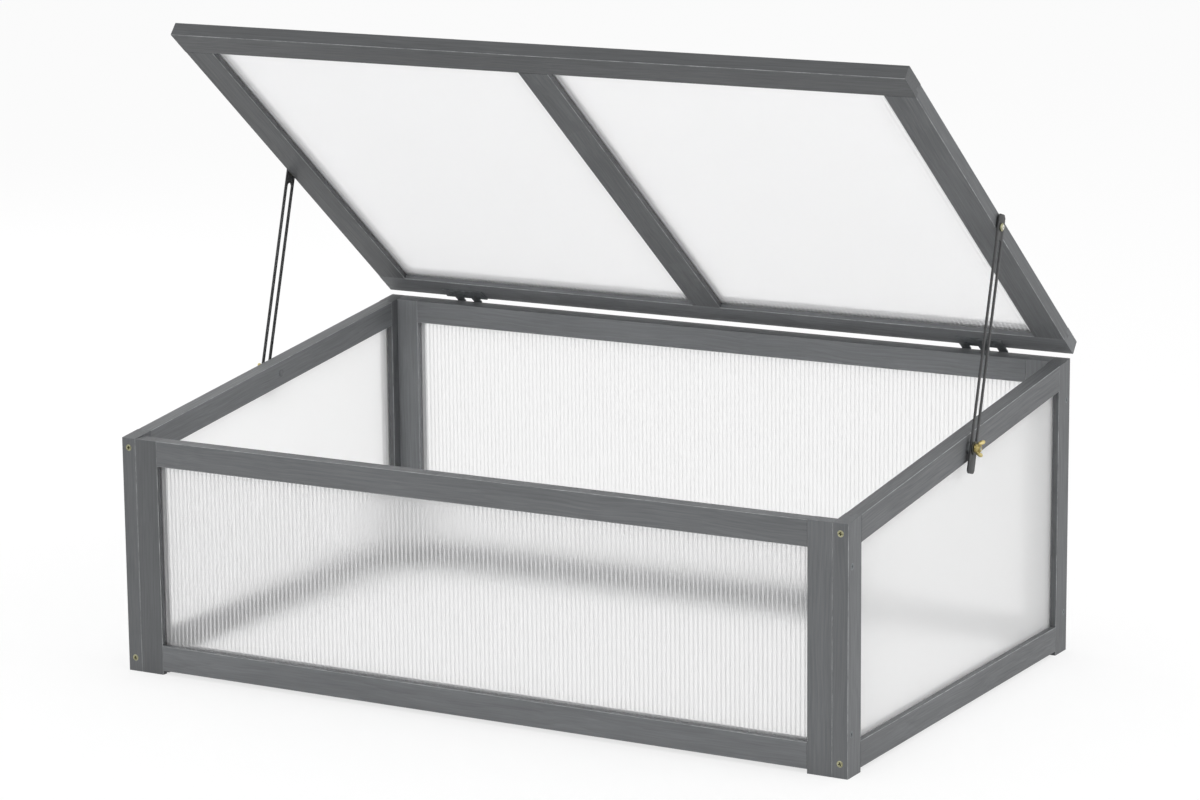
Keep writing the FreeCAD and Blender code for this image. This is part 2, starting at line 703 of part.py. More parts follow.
def build():
    """All pieces by name, at rest with the lid open."""
    nodes = {}
    add_end_frame(nodes, "front", FRONT_H, 0)
    add_end_frame(nodes, "rear", REAR_H, BOX_D - BATTEN_T, planing=OVERCUT)
    add_right_side(nodes)
    add_left_side(nodes)
    add_right_bolt(nodes)
    nodes["right_wing_nut"] = right_wing_nut()
    nodes["right_stay"] = right_stay()

    lid = {}
    add_lid(lid)
    for side, centre_x, lid_first in (("left", -HINGE_X, 1), ("right", HINGE_X, 0)):
        add_hinge(nodes, lid, side, centre_x, lid_first)
    add_right_pivot(lid)
    lid["lid_left_stile"] = mirrored(lid["lid_right_stile"])
    turn = FreeCAD.Placement(AXIS, FreeCAD.Rotation(V(1, 0, 0), -LID_OPEN_DEG)).toMatrix()
    for name, shape in lid.items():
        nodes[name] = shape.transformed(turn)

    mirrored_parts = ("stay", "wing_nut", "stay_bolt", "stay_spacer", "stay_washer")
    for part in mirrored_parts + ("stay_pivot_screw", "stay_pivot_washer"):
        nodes[f"left_{part}"] = mirrored(nodes[f"right_{part}"])
    return nodes


os.makedirs("parts", exist_ok=True)
for node_name, node_shape in build().items():
    placed = node_shape.translated(V(0, -MIDDLE_Y, 0))
    if not placed.isValid():
        raise ValueError(f"{node_name} is not a valid shape")
    placed.exportStep(f"parts/{node_name}.step")
    print(f"{node_name}: {len(placed.Solids)} solids, {placed.Volume:.1f} mm3")

for label, point in (("hinge axis", AXIS), ("stay pivot", STAY_PIVOT), ("stay bolt", STAY_BOLT)):
    print(f"{label}: y {point.y - MIDDLE_Y:.4f}, z {point.z:.4f}")
print(f"lid swings shut by {math.degrees(LID_OPEN + LID_SHUT):.3f} degrees")
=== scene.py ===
import logging
import math
from collections.abc import Iterable
from dataclasses import dataclass
from enum import Enum

import bmesh
import bpy
from mathutils import Matrix, Vector


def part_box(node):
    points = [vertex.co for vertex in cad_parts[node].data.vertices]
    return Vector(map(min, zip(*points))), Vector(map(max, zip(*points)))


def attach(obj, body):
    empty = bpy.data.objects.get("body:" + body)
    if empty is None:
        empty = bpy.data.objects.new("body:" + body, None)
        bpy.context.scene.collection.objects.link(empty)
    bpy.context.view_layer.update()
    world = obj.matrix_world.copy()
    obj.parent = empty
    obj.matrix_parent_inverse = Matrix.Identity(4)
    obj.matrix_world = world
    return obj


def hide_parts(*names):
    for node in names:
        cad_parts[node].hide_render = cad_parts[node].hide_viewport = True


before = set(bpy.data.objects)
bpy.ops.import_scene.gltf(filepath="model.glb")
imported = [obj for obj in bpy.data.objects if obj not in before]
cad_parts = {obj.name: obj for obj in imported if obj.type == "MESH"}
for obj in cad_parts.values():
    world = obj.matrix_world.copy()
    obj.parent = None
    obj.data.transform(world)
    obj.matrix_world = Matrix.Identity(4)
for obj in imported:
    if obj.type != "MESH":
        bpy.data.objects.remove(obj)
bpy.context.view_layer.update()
MM = 0.001
MERGE_DIST = 0.001 * MM
LID_OPEN = math.radians(39.0)
RIM_SLOPE = math.atan((376.0 - 298.0) / 630.0)

# Points of a turned profile, as radius and height, or of a flat outline, in millimetres
Points = tuple[tuple[float, float], ...]

log = logging.getLogger("greenhouse")


# Helpers for colours, nodes and meshes


def linear(code: str) -> tuple[float, float, float, float]:
    """Turns an sRGB hex colour into a linear one.

    Args:
        code: Six hex digits, two for each of red, green and blue.

    Returns:
        Linear red, green and blue, and a full alpha.
    """
    parts = [int(code[start : start + 2], 16) / 255 for start in (0, 2, 4)]
    red, green, blue = (
        part / 12.92 if part <= 0.04045 else ((part + 0.055) / 1.055) ** 2.4 for part in parts
    )
    return red, green, blue, 1.0


def add_node(
    tree: bpy.types.NodeTree, kind: str, inputs: dict[str | int, object] | None = None, **settings: object
) -> bpy.types.Node:
    """Adds a shader node with its settings, values and links.

    Args:
        tree: The node tree that takes the node.
        kind: The node's type without its leading "ShaderNode".
        inputs: A value, or an output socket to link, for each input by name or number.
        settings: The node's own properties.

    Returns:
        The new node.
    """
    node = tree.nodes.new("ShaderNode" + kind)
    for name, value in settings.items():
        setattr(node, name, value)
    for key, value in (inputs or {}).items():
        if isinstance(value, bpy.types.NodeSocket):
            tree.links.new(value, node.inputs[key])
        else:
            node.inputs[key].default_value = value
    return node


def set_ramp(node: bpy.types.Node, *stops: tuple[float, tuple[float, float, float, float]]) -> None:
    """Gives a colour ramp its stops.

    Args:
        node: The colour ramp node.
        stops: Pairs of a place from 0 to 1 and a linear colour.
    """
    ramp = node.color_ramp
    while len(ramp.elements) < len(stops):
        ramp.elements.new(0.5)
    for element, (place, colour) in zip(ramp.elements, stops):
        element.position = place
        element.color = colour


def new_material(name: str) -> bpy.types.Material:
    """Makes a material whose node tree is still empty."""
    made = bpy.data.materials.new(name)
    made.use_nodes = True
    made.node_tree.nodes.clear()
    return made


def turned(profile: Points, closed: bool = False, steps: int = 36) -> bmesh.types.BMesh:
    """Turns a profile about the Z axis.

    Args:
        profile: Its points of radius and height.
        closed: True for a ring, whose profile ends where it starts.
        steps: Number of sides.

    Returns:
        The turned shell in metres.
    """
    mesh = bmesh.new()
    points = [mesh.verts.new((radius * MM, 0, height * MM)) for radius, height in profile]
    following = points[1:] + points[:1] if closed else points[1:]
    edges = [mesh.edges.new(pair) for pair in zip(points, following)]
    bmesh.ops.spin(
        mesh,
        geom=points + edges,
        cent=(0, 0, 0),
        axis=(0, 0, 1),
        angle=2 * math.pi,
        steps=steps,
        use_merge=True,
        use_duplicate=False,
    )
    bmesh.ops.remove_doubles(mesh, verts=mesh.verts, dist=MERGE_DIST)
    bmesh.ops.recalc_face_normals(mesh, faces=mesh.faces)
    return mesh


def bevel(
    mesh: bmesh.types.BMesh, geom: list[bmesh.types.BMVert], offset: float, segments: int, affect: str
) -> None:
    """Bevels "EDGES" or "VERTICES" by an offset in millimetres."""
    bmesh.ops.bevel(
        mesh, geom=geom, offset=offset * MM, segments=segments, profile=0.5, affect=affect, material=-1
    )


def joined(shells: Iterable[bmesh.types.BMesh]) -> bmesh.types.BMesh:
    """Puts several shells into one mesh and frees them.

    Args:
        shells: The shells to join.

    Returns:
        One mesh with all of them.
    """
    whole = bmesh.new()
    for shell in shells:
        part = bpy.data.meshes.new("part")
        shell.to_mesh(part)
        whole.from_mesh(part)
        bpy.data.meshes.remove(part)
        shell.free()
    return whole


def pointed(shell: bmesh.types.BMesh, point: Vector, direction: Vector) -> bmesh.types.BMesh:
    """Lays a shell's Z axis along a direction.

    Args:
        shell: The shell, which is changed.
        point: Where its origin goes.
        direction: Where its Z axis points.

    Returns:
        The same shell.
    """
    turn = Vector((0, 0, 1)).rotation_difference(direction).to_matrix().to_4x4()
    bmesh.ops.transform(shell, matrix=Matrix.Translation(point) @ turn, verts=shell.verts)
    return shell


def finished(name: str, shell: bmesh.types.BMesh, sharp_over: float = 30.0) -> bpy.types.Object:
    """Makes an object of a shell, smooth but for its sharp edges.

    Args:
        name: The object's name.
        shell: The shell, which is freed.
        sharp_over: Degrees between faces over which an edge stays sharp.

    Returns:
        The object, at the origin.
    """
    for face in shell.faces:
        face.smooth = True
    for edge in shell.edges:
        edge.smooth = edge.calc_face_angle(0.0) < math.radians(sharp_over)
    data = bpy.data.meshes.new(name)
    shell.to_mesh(data)
    shell.free()
    piece = bpy.data.objects.new(name, data)
    bpy.context.scene.collection.objects.link(piece)
    return piece


def islands(node: str) -> list[tuple[Vector, Vector]]:
    """Finds the separate solids of a CAD node.

    Args:
        node: The node's name.

    Returns:
        The lowest and highest corner of each solid, from left to right, front to back and upwards.
    """
    copy = bmesh.new()
    copy.from_mesh(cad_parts[node].data)
    bmesh.ops.remove_doubles(copy, verts=copy.verts, dist=MERGE_DIST)
    waiting = set(copy.verts)
    boxes = []
    while waiting:
        reached = [waiting.pop()]
        for vert in reached:
            for edge in vert.link_edges:
                other = edge.other_vert(vert)
                if other in waiting:
                    waiting.remove(other)
                    reached.append(other)
        low = Vector(min(vert.co[axis] for vert in reached) for axis in range(3))
        high = Vector(max(vert.co[axis] for vert in reached) for axis in range(3))
        boxes.append((low, high))
    copy.free()
    return sorted(boxes, key=lambda box: tuple(round(value / MM) for value in box[0]))


def dress(piece: bpy.types.Object, material: bpy.types.Material) -> None:
    """Gives a piece one material.

    Args:
        piece: The object.
        material: Its new material.
    """
    if not piece.material_slots:
        piece.data.materials.append(material)
    for slot in piece.material_slots:
        slot.material = material


# Finishes


class Run(Enum):
    """Way that a batten's fibres run, as the turn that lays them along X."""

    ACROSS = (0.0, 0.0, 0.0)
    UPRIGHT = (0.0, math.pi / 2, 0.0)
    DEEP = (0.0, 0.0, -math.pi / 2)
    RIM = (-RIM_SLOPE, 0.0, -math.pi / 2)
    LID_ACROSS = (LID_OPEN, 0.0, 0.0)
    LID_DEEP = (LID_OPEN, 0.0, -math.pi / 2)


@dataclass(frozen=True)
class StainedFir:
    """Planed fir with a thin grey water-based stain.

    The stain is matt and lets the growth lines and fibres show, it lies thinner and so lighter on the
    rounded arrises, where the pale colour also stands in as a painted highlight for light catching the
    edges, and the end grain drinks it in spots.
    """

    run: Run
    seed: float
    # Darkening of the whole batten: partly its own stain, partly painted shade or light
    depth: float = 1.0
    stain: str = "66686a"
    deep: str = "606264"
    pale: str = "6c6e70"
    # Pale colour of the arrises: partly thin, rubbed stain and partly a painted highlight
    worn_highlight: str = "b2b4b5"
    ring_spacing: float = 4.5
    ring_share: float = 0.06
    ring_relief: float = 0.35
    pith_side: float = 31.0
    pith_spread: float = 12.0
    pith_below: float = 55.0
    fibre_width: float = 1.6
    fibre_length: float = 70.0
    fibre_sway: float = 12.0
    sways_per_metre: float = 7.0
    patch_width: float = 25.0
    patch_length: float = 200.0
    patch_share: float = 0.22
    # How far an arris is lightened, for wear and painted highlight together
    arris_wear_and_highlight: float = 0.85
    rubs_per_metre: float = 60.0
    pores_per_metre: float = 900.0
    end_share: float = 0.7
    satin: float = 0.46
    matt: float = 0.62
    relief: float = 0.06

    def shade(self, code: str) -> tuple[float, float, float, float]:
        """Linear colour of a shade of the stain on this batten, darkened by depth, which holds both the
        board's own take-up of the stain and painted light and shade.
        """
        red, green, blue, alpha = linear(code)
        return red / self.depth, green / self.depth, blue / self.depth, alpha

    def material(self) -> bpy.types.Material:
        """Builds the material, one for each batten because no two grow alike."""
        made = new_material(f"stained_fir_{self.run.name.lower()}_{self.seed:g}")
        tree = made.node_tree
        where = add_node(tree, "TexCoord")
        # Every batten is cut from another place in its log
        along = add_node(
            tree,
            "Mapping",
            {
                "Vector": where.outputs["Object"],
                "Rotation": self.run.value,
                "Location": (0.37 * self.seed, 0.011 * math.sin(self.seed), 0.013 * math.cos(2 * self.seed)),
            },
            vector_type="POINT",
        )
        facing = add_node(
            tree,
            "Mapping",
            {"Vector": where.outputs["Normal"], "Rotation": self.run.value},
            vector_type="VECTOR",
        )
        # Slow drift of the fibres from side to side along the batten
        drift = add_node(
            tree, "TexNoise", {"Vector": along.outputs[0], "Scale": self.sways_per_metre, "Detail": 1.0}
        )
        aside = self.fibre_sway * MM
        sway = add_node(
            tree,
            "VectorMath",
            {0: drift.outputs["Color"], 1: (0.0, aside, aside), 2: along.outputs[0]},
            operation="MULTIPLY_ADD",
        )
        pith = self.pith_side + self.pith_spread * math.sin(3 * self.seed)
        centre = add_node(
            tree,
            "VectorMath",
            {0: sway.outputs[0], 1: (0.0, pith * MM, self.pith_below * MM)},
            operation="ADD",
        )
        rings = add_node(
            tree,
            "TexWave",
            {
                "Vector": centre.outputs[0],
                "Scale": 2 * math.pi / (20 * self.ring_spacing * MM),
                "Distortion": 1.2,
                "Detail": 2.0,
                "Detail Scale": 0.6,
            },
            wave_type="RINGS",
            rings_direction="X",
            wave_profile="SAW",
        )
        along_fibre, across_fibre = 1 / (self.fibre_length * MM), 1 / (self.fibre_width * MM)
        stretched = add_node(
            tree,
            "Mapping",
            {"Vector": sway.outputs[0], "Scale": (along_fibre, across_fibre, across_fibre)},
        )
        fibres = add_node(
            tree, "TexNoise", {"Vector": stretched.outputs[0], "Scale": 1.0, "Detail": 3.0, "Roughness": 0.6}
        )
        along_patch, across_patch = 1 / (self.patch_length * MM), 1 / (self.patch_width * MM)
        clouds = add_node(
            tree,
            "Mapping",
            {"Vector": along.outputs[0], "Scale": (along_patch, across_patch, across_patch)},
        )
        patches = add_node(tree, "TexNoise", {"Vector": clouds.outputs[0], "Scale": 1.0, "Detail": 2.0})
        stain = add_node(tree, "ValToRGB", {"Fac": fibres.outputs["Fac"]})
        set_ramp(
            stain,
            (0.3, self.shade(self.deep)),
            (0.52, self.shade(self.stain)),
            (0.75, self.shade(self.pale)),
        )
        face_tone = stain.outputs["Color"]
        for share, pattern in (
            (self.ring_share, rings.outputs["Color"]),
            (self.patch_share, patches.outputs["Fac"]),
        ):
            layer = add_node(
                tree,
                "Mix",
                {"Factor": share, 6: face_tone, 7: pattern},
                data_type="RGBA",
                blend_type="SOFT_LIGHT",
            )
            face_tone = layer.outputs[2]
        # An arris is where no axis of the batten lies square to the surface
        apart = add_node(tree, "SeparateXYZ", {0: facing.outputs[0]})
        end, side, flat = (
            add_node(tree, "Math", {0: apart.outputs[axis]}, operation="ABSOLUTE").outputs[0]
            for axis in range(3)
        )
        face = add_node(tree, "Math", {0: side, 1: flat}, operation="MAXIMUM")
        square = add_node(tree, "Math", {0: face.outputs[0], 1: end}, operation="MAXIMUM")
        arris = add_node(
            tree,
            "MapRange",
            {"Value": square.outputs[0], "From Min": 0.99, "From Max": 0.8, "To Max": self.arris_wear_and_highlight},
        )
        rubbed = add_node(
            tree,
            "TexNoise",
            {"Vector": along.outputs[0], "Scale": self.rubs_per_metre, "Detail": 3.0, "Roughness": 0.7},
        )
        rub = add_node(
            tree,
            "MapRange",
            {"Value": rubbed.outputs["Fac"], "From Min": 0.35, "From Max": 0.7, "To Min": 0.25},
        )
        wear_and_highlight = add_node(tree, "Math", {0: arris.outputs[0], 1: rub.outputs[0]}, operation="MULTIPLY")
        # Arrises are lightened, partly by wear and partly as a painted highlight where the edges catch light
        worn_highlight = add_node(
            tree,
            "Mix",
            {"Factor": wear_and_highlight.outputs[0], 6: face_tone, 7: linear(self.worn_highlight)},
            data_type="RGBA",
        )
        # Cut across the fibres, the wood shows its pores as pale and dark specks
        pores = add_node(
            tree, "TexNoise", {"Vector": along.outputs[0], "Scale": self.pores_per_metre, "Detail": 2.0}
        )
        specks = add_node(tree, "ValToRGB", {"Fac": pores.outputs["Fac"]})
        set_ramp(specks, (0.35, self.shade(self.deep)), (0.65, self.shade(self.pale)))
        is_end = add_node(
            tree,
            "MapRange",
            {"Value": end, "From Min": 0.9, "From Max": 0.97, "To Max": self.end_share},
        )
        colour = add_node(
            tree,
            "Mix",
            {"Factor": is_end.outputs[0], 6: worn_highlight.outputs[2], 7: specks.outputs["Color"]},
            data_type="RGBA",
        )
        roughness = add_node(
            tree,
            "MapRange",
            {
                "Value": fibres.outputs["Fac"],
                "From Min": 0.3,
                "From Max": 0.7,
                "To Min": self.matt,
                "To Max": self.satin,
            },
        )
        relief = add_node(
            tree,
            "Math",
            {0: rings.outputs["Fac"], 1: self.ring_relief, 2: fibres.outputs["Fac"]},
            operation="MULTIPLY_ADD",
        )
        bump = add_node(
            tree, "Bump", {"Height": relief.outputs[0], "Strength": 0.25, "Distance": self.relief * MM}
        )
        wood = add_node(
            tree,
            "BsdfPrincipled",
            {
                "Base Color": colour.outputs[2],
                "Roughness": roughness.outputs[0],
                "Normal": bump.outputs[0],
                "IOR": 1.45,
            },
        )
        add_node(tree, "OutputMaterial", {"Surface": wood.outputs[0]})
        return made


@dataclass(frozen=True)
class TwinWallPolycarbonate:
    """Extruded opal polycarbonate sheet of two skins and ribs.

    The skins let most light straight through and the ribs scatter it, so that
    what lies behind breaks up into stripes, while bare sheet looks evenly white.
    """

    place: str
    rib_axis: int
    lean: float
    rib_tint: str
    tint: str = "fbfbfb"
    clear: str = "fdfdfd"
    skin_cover: float = 0.08
    rib_cover: float = 0.45
    edge_on_cover: float = 0.85
    scatter: float = 0.5
    bend: float = 1.08
    blur: float = 0.3
    haze_size: float = 80.0
    haze_share: float = 0.15
    lean_grain: float = 0.1
    line_width: float = 3.0
    line_length: float = 160.0

    def material(self) -> bpy.types.Material:
        """Builds the material for sheets whose ribs face along rib_axis."""
        made = new_material(f"twin_wall_polycarbonate_{self.place}")
        tree = made.node_tree
        where = add_node(tree, "TexCoord")
        apart = add_node(tree, "SeparateXYZ", {0: where.outputs["Normal"]})
        facing = add_node(tree, "Math", {0: apart.outputs[self.rib_axis]}, operation="ABSOLUTE")
        is_rib = add_node(tree, "MapRange", {"Value": facing.outputs[0], "From Min": 0.3, "From Max": 0.9})
        haze = add_node(
            tree,
            "TexNoise",
            {"Vector": where.outputs["Object"], "Scale": 1 / (self.haze_size * MM), "Detail": 2.0},
        )
        thin = add_node(
            tree,
            "MapRange",
            {
                "Value": haze.outputs["Fac"],
                "To Min": (1 - self.haze_share) * self.skin_cover,
                "To Max": (1 + self.haze_share) * self.skin_cover,
            },
        )
        cover = add_node(
            tree,
            "MapRange",
            {"Value": is_rib.outputs[0], "To Min": thin.outputs[0], "To Max": self.rib_cover},
        )
        # Looked at nearly edge-on, rib stands behind rib and the sheet closes up
        grazing = add_node(tree, "LayerWeight", {"Blend": 0.5})
        closed = add_node(
            tree,
            "MapRange",
            {
                "Value": grazing.outputs["Facing"],
                "From Min": 0.72,
                "From Max": 0.93,
                "To Min": cover.outputs[0],
                "To Max": self.edge_on_cover,
            },
        )
        tone = add_node(
            tree,
            "Mix",
            {"Factor": is_rib.outputs[0], 6: linear(self.tint), 7: linear(self.rib_tint)},
            data_type="RGBA",
        )
        along_line, across_line = 1 / (self.line_length * MM), 1 / (self.line_width * MM)
        lines = add_node(
            tree,
            "Mapping",
            {"Vector": where.outputs["Object"], "Scale": (across_line, across_line, along_line)},
        )
        drawn = add_node(tree, "TexNoise", {"Vector": lines.outputs[0], "Scale": 1.0, "Detail": 1.0})
        gloss = add_node(tree, "MapRange", {"Value": drawn.outputs["Fac"], "To Min": 0.3, "To Max": 0.45})
        ripple = add_node(
            tree, "Bump", {"Height": drawn.outputs["Fac"], "Strength": 0.1, "Distance": 0.02 * MM}
        )
        sheet = add_node(
            tree,
            "BsdfPrincipled",
            {
                "Base Color": tone.outputs[2],
                "Roughness": gloss.outputs[0],
                "Normal": ripple.outputs[0],
                "IOR": 1.58,
            },
        )
        through = add_node(tree, "BsdfTranslucent", {"Color": tone.outputs[2]})
        opal = add_node(tree, "MixShader", {"Fac": self.scatter, 1: sheet.outputs[0], 2: through.outputs[0]})
        # The drawn skins lean to and fro across the flutes, so what is seen through them smears sideways
        spots = add_node(
            tree,
            "VectorMath",
            {0: where.outputs["Object"], 3: 1 / (self.lean_grain * MM)},
            operation="SCALE",
        )
        chance = add_node(tree, "TexWhiteNoise", {"Vector": spots.outputs[0]}, noise_dimensions="3D")
        lean = add_node(
            tree, "MapRange", {"Value": chance.outputs["Value"], "To Min": -self.lean, "To Max": self.lean}
        )
        aside = add_node(tree, "CombineXYZ", {self.rib_axis: lean.outputs[0]})
        surface = add_node(tree, "NewGeometry")
        leaning = add_node(
            tree, "VectorMath", {0: surface.outputs["Normal"], 1: aside.outputs[0]}, operation="ADD"
        )
        leant = add_node(tree, "VectorMath", {0: leaning.outputs[0]}, operation="NORMALIZE")
        # Light for the inside goes straight through
        clear = add_node(tree, "BsdfTransparent", {"Color": linear(self.clear)})
        blurred = add_node(
            tree,
            "BsdfRefraction",
            {
                "Color": linear(self.clear),
                "IOR": self.bend,
                "Roughness": self.blur,
                "Normal": leant.outputs[0],
            },
        )
        path = add_node(tree, "LightPath")
        looked = add_node(
            tree,
            "Math",
            {0: path.outputs["Is Camera Ray"], 1: path.outputs["Is Transmission Ray"]},
            operation="MAXIMUM",
        )
        beyond = add_node(
            tree, "MixShader", {"Fac": looked.outputs[0], 1: clear.outputs[0], 2: blurred.outputs[0]}
        )
        mixed = add_node(
            tree, "MixShader", {"Fac": closed.outputs[0], 1: beyond.outputs[0], 2: opal.outputs[0]}
        )
        add_node(tree, "OutputMaterial", {"Surface": mixed.outputs[0]})
        return made


@dataclass(frozen=True)
class Metal:
    """Metal or coated metal, with fine unevenness of tone, gloss and surface."""

    name: str
    colour: str
    shade: str
    metallic: float
    smooth: float
    rough: float
    grain: float
    relief: float
    cloud_share: float = 0.15

    def made(self) -> bpy.types.Material:
        """Finds the metal's material, or builds it the first time."""
        return bpy.data.materials.get(self.name) or self.material()

    def material(self) -> bpy.types.Material:
        """Builds the material: grain is its pattern's size and relief its depth, in millimetres."""
        made = new_material(self.name)
        tree = made.node_tree
        where = add_node(tree, "TexCoord")
        scale = 1 / (self.grain * MM)
        grain = add_node(
            tree,
            "TexNoise",
            {"Vector": where.outputs["Object"], "Scale": scale, "Detail": 3.0, "Roughness": 0.6},
        )
        clouds = add_node(
            tree,
            "TexNoise",
            {"Vector": where.outputs["Object"], "Scale": self.cloud_share * scale, "Detail": 2.0},
        )
        tone = add_node(tree, "ValToRGB", {"Fac": clouds.outputs["Fac"]})
        set_ramp(tone, (0.35, linear(self.shade)), (0.65, linear(self.colour)))
        gloss = add_node(
            tree,
            "MapRange",
            {
                "Value": grain.outputs["Fac"],
                "From Min": 0.3,
                "From Max": 0.7,
                "To Min": self.smooth,
                "To Max": self.rough,
            },
        )
        bump = add_node(
            tree, "Bump", {"Height": grain.outputs["Fac"], "Strength": 0.6, "Distance": self.relief * MM}
        )
        body = add_node(
            tree,
            "BsdfPrincipled",
            {
                "Base Color": tone.outputs["Color"],
                "Roughness": gloss.outputs[0],
                "Normal": bump.outputs[0],
                "Metallic": self.metallic,
            },
        )
        add_node(tree, "OutputMaterial", {"Surface": body.outputs[0]})
        return made


# Zinc plating on turned steel: pale grey, softly shining, with a faint clouded bloom
ZINC_PLATE = Metal("zinc_plated_steel", "a9adad", "8d9192", 1.0, 0.3, 0.48, 0.8, 0.02)
# Zinc plating that has dulled on pressed steel: mid grey with hardly a shine
DULL_ZINC = Metal("dulled_zinc_plate", "6f7274", "5a5d5f", 0.35, 0.45, 0.62, 0.8, 0.02)
# Washers drawn dark brown-grey: painted shade under the wing nut and round the pivot head
WASHER_SHADE_STEEL = Metal("steel_painted_shade", "5f5e55", "45443b", 0.8, 0.4, 0.6, 0.6, 0.02)
# Zinc with a yellow chromate film: dull olive with a changing tone
YELLOW_ZINC = Metal("yellow_passivated_steel", "b3b292", "86846a", 1.0, 0.36, 0.54, 0.5, 0.02)
# The same film drawn nearly white on the pivot head's flat face: a painted highlight
PAINTED_HIGHLIGHT_ZINC = Metal("steel_painted_highlight", "eceae2", "cfcdc2", 1.0, 0.22, 0.34, 0.5, 0.01)
# Phosphated steel screws: dull grey
GREY_PHOSPHATE = Metal("phosphated_steel", "83878a", "6a6e70", 1.0, 0.4, 0.6, 0.5, 0.02)
# Thin black coating on flat bar: dark grey with a low satin shine
BLACK_COAT = Metal("black_coated_steel", "2d2e2f", "242526", 0.0, 0.42, 0.56, 0.6, 0.015)
# Steel brushed over with the frame's stain: matt grey, hardly told from the wood round it
STAINED_STEEL = Metal("stained_over_steel", "66686a", "5c5e60", 0.0, 0.5, 0.64, 0.8, 0.02)
# Cast brass: warm yellow with the slight roughness of its mould; its darker patches are partly the metal's
# own uneven tone and partly a painted reflection of dark surroundings
CAST_BRASS = Metal("cast_brass", "d2c38c", "8c7d48", 1.0, 0.26, 0.42, 0.7, 0.04)


# Sub-assemblies


@dataclass(frozen=True)
class Batten:
    """One batten of a frame: its CAD node and the way that its fibres run."""

    node: str
    run: Run

    def dress(self, seed: float, depth: float) -> None:
        """Stains the batten, with a figure of its own from seed and a tone from depth, which holds painted
        light and shade as well as its own stain.
        """
        dress(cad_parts[self.node], StainedFir(self.run, seed, depth).material())
        log.info("%s: fir, fibres %s", self.node, self.run.name.lower())


@dataclass
class Joinery:
    """All battens of the box and the lid."""

    first_seed: float = 1.0
    seed_step: float = 1.7
    # How deeply each batten is darkened, by the start of the battens' names: partly the boards' own take-up
    # of the stain, partly painted shade and light that darken or lighten whole battens by how light falls on
    # them, as on the lid's underside and the front left stile
    stain_and_shade_depths: tuple[tuple[str, float], ...] = (
        ("front_left_stile", 1.5),
        ("front_bottom_rail", 0.97),
        ("front", 1.13),
        ("rear_left_stile", 0.76),
        ("rear", 0.88),
        ("left_top_rail", 1.03),
        ("left", 1.34),
        ("right_front_stile", 1.19),
        ("right_bottom_rail", 1.25),
        ("right", 1.35),
        ("lid_front_rail", 1.78),
        ("lid_rear_rail", 1.11),
        ("lid_mullion", 1.56),
        ("lid_right_stile", 1.43),
        ("lid_left_stile", 1.81),
    )

    def depth(self, node: str) -> float:
        """Depth of the stain on the batten called node, together with its painted light and shade."""
        return next(depth for start, depth in self.stain_and_shade_depths if node.startswith(start))

    def battens(self) -> list[Batten]:
        """Lists the battens frame by frame.

        Returns:
            Every batten of the greenhouse.
        """
        found = []
        for side in ("front", "rear"):
            found += [Batten(f"{side}_{end}_stile", Run.UPRIGHT) for end in ("left", "right")]
            found += [Batten(f"{side}_{level}_rail", Run.ACROSS) for level in ("bottom", "top")]
        for side in ("left", "right"):
            found += [Batten(f"{side}_{end}_stile", Run.UPRIGHT) for end in ("front", "rear")]
            found.append(Batten(f"{side}_bottom_rail", Run.DEEP))
            found.append(Batten(f"{side}_top_rail", Run.RIM))
        found += [Batten(f"lid_{end}_rail", Run.LID_ACROSS) for end in ("front", "rear")]
        found += [Batten(f"lid_{part}", Run.LID_DEEP) for part in ("left_stile", "right_stile", "mullion")]
        return found

    def build(self) -> None:
        """Stains every batten."""
        for index, batten in enumerate(self.battens()):
            batten.dress(self.first_seed + index * self.seed_step, self.depth(batten.node))


@dataclass
class Glazing:
    """The six fluted sheets.

    Where the ribs show as fine lines, they are drawn darker than they are, because at
    this size they would be too thin to see.
    """

    front: TwinWallPolycarbonate = TwinWallPolycarbonate("front", rib_axis=0, lean=0.35, rib_tint="ececed")
    rear: TwinWallPolycarbonate = TwinWallPolycarbonate("rear", rib_axis=0, lean=0.35, rib_tint="f6f6f6")
    side: TwinWallPolycarbonate = TwinWallPolycarbonate("side", rib_axis=1, lean=0.0, rib_tint="fafafa")
    lid: TwinWallPolycarbonate = TwinWallPolycarbonate("lid", rib_axis=0, lean=0.0, rib_tint="eeeeef")

    def build(self) -> None:
        """Dresses the sheets place by place."""
        for finish, names in (
            (self.front, ("front_panel",)),
            (self.rear, ("rear_panel",)),
            (self.side, ("left_panel", "right_panel")),
            (self.lid, ("lid_left_panel", "lid_right_panel")),
        ):
            material = finish.material()
            for name in names:
                dress(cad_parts[name], material)
                log.info("%s: twin-wall polycarbonate", name)


